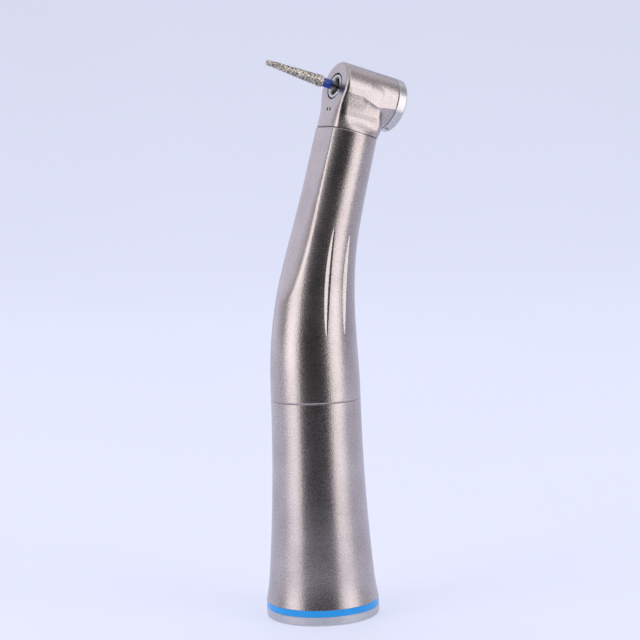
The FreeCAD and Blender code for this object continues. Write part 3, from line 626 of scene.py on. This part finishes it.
def sweep_floor():
    """A plain pale floor that curves up into the backdrop behind the object."""
    profile = [(-SWEEP_FRONT, 0.0), (SWEEP_FLAT, 0.0)]
    profile += [(SWEEP_FLAT + SWEEP_BEND * math.sin(a), SWEEP_BEND * (1 - math.cos(a)))
                for a in np.linspace(0.05, math.pi / 2, 24)]
    profile.append((SWEEP_FLAT + SWEEP_BEND, SWEEP_TOP))
    ahead = Vector((-math.sin(SHOOTING_TURN), math.cos(SHOOTING_TURN), 0))
    side = Vector((math.cos(SHOOTING_TURN), math.sin(SHOOTING_TURN), 0))
    points = [ahead * y + side * (SWEEP_HALF * hand) + Vector((0, 0, z))
              for y, z in profile for hand in (-1, 1)]
    faces = [(2 * k, 2 * k + 1, 2 * k + 3, 2 * k + 2) for k in range(len(profile) - 1)]
    mesh = bpy.data.meshes.new("studio_floor")
    mesh.from_pydata([tuple(point) for point in points], [], faces)
    mesh.shade_smooth()
    floor = bpy.data.objects.new("studio_floor", mesh)
    mesh.materials.append(studio_card("back_lit_acrylic", "A9ABB8", "A3A5B2", 0.585))
    bpy.context.collection.objects.link(floor)


LIT_POINT = Vector((0.005, 0.0, 0.055))


def softbox(name, azimuth, elevation, distance, size, power, colour="FFFFFF"):
    """A large soft light aimed at the middle of the handpiece."""
    a, e = math.radians(azimuth), math.radians(elevation)
    back = Vector((math.sin(a) * math.cos(e), -math.cos(a) * math.cos(e), math.sin(e)))
    lamp = bpy.data.lights.new(name, "AREA")
    lamp.shape = "RECTANGLE"
    lamp.size, lamp.size_y = size
    lamp.energy = power
    lamp.color = linear(colour)[:3]
    holder = bpy.data.objects.new(name, lamp)
    turned = back.to_track_quat("Z", "Y").to_matrix().to_4x4()
    holder.matrix_world = Matrix.Translation(LIT_POINT + back * distance) @ turned
    bpy.context.collection.objects.link(holder)


def studio_world():
    world = bpy.data.worlds.new("studio")
    bpy.context.scene.world = world
    world.use_nodes = True
    tree = world.node_tree
    seen = tree.nodes["Background"]
    seen.inputs["Color"].default_value = linear("E6E9FC")
    seen.inputs["Strength"].default_value = 1.0
    # The room is dark on the side the object is shot from and evenly lit elsewhere.
    way = tree.nodes.new("ShaderNodeTexCoord").outputs["Generated"]
    tall = add_node(tree, "ShaderNodeVectorMath", {"operation": "MULTIPLY"}, {0: way})
    tall.inputs[1].default_value = (1.0, 1.0, 2.0)
    flat = add_node(tree, "ShaderNodeVectorMath", {"operation": "NORMALIZE"}, {0: tall.outputs["Vector"]})
    facing = add_node(tree, "ShaderNodeVectorMath", {"operation": "DOT_PRODUCT"}, {0: flat.outputs["Vector"]})
    facing.inputs[1].default_value = (math.sin(SHOOTING_TURN), -math.cos(SHOOTING_TURN), 0.0)
    level = add_node(tree, "ShaderNodeMapRange", {"interpolation_type": "SMOOTHSTEP"},
                     {"Value": facing.outputs["Value"]},
                     From_Min=0.85, From_Max=0.45, To_Min=0.035, To_Max=0.42)
    ambient = add_node(tree, "ShaderNodeBackground", links={"Strength": level.outputs["Result"]},
                       Color=linear("F2F2F8"))
    ray = tree.nodes.new("ShaderNodeLightPath").outputs["Is Camera Ray"]
    mixed = add_node(tree, "ShaderNodeMixShader", links={0: ray, 1: ambient.outputs[0], 2: seen.outputs[0]})
    tree.links.new(mixed.outputs[0], tree.nodes["World Output"].inputs["Surface"])


# The lens is about three sensor widths long.
SENSOR_MM, LENS_SENSORS = 36, 3.006015625


def place_camera():
    """The camera stands low in front, a third of a metre away, and looks slightly down."""
    around, yaw = math.radians(27), math.radians(-0.21)
    pitch, roll = math.radians(5.84), math.radians(-2.02)
    distance, height = 0.3366, 0.08686
    turn = yaw - around
    up = Vector((0, 0, 1))
    ahead = Vector((-math.sin(turn), math.cos(turn), 0))
    right = Vector((math.cos(turn), math.sin(turn), 0))
    view = ahead * math.cos(pitch) - up * math.sin(pitch)
    top = up * math.cos(pitch) + ahead * math.sin(pitch)
    right, top = (right * math.cos(roll) + top * math.sin(roll),
                  top * math.cos(roll) - right * math.sin(roll))
    camera = bpy.data.objects.new("camera", bpy.data.cameras.new("camera"))
    camera.data.sensor_width = SENSOR_MM
    camera.data.lens = LENS_SENSORS * SENSOR_MM
    place = Matrix((right, top, -view)).transposed().to_4x4()
    place.translation = (-math.sin(around) * distance, -math.cos(around) * distance, height)
    camera.matrix_world = place
    bpy.context.collection.objects.link(camera)
    bpy.context.scene.camera = camera


sweep_floor()
studio_world()
softbox("left_softbox", -90, 12, 0.6, (0.40, 0.9), 1.95, "FFFCFB")
softbox("right_softbox", 30, 12, 0.6, (0.42, 0.9), 2.0, "FFFCFB")
softbox("rear_left_softbox", -152, 8, 0.7, (0.6, 0.9), 0.75, "F6F6FF")
softbox("overhead_softbox", 150, 84, 0.8, (1.3, 1.3), 2.6)
bpy.context.scene.view_settings.view_transform = "Standard"
place_camera()
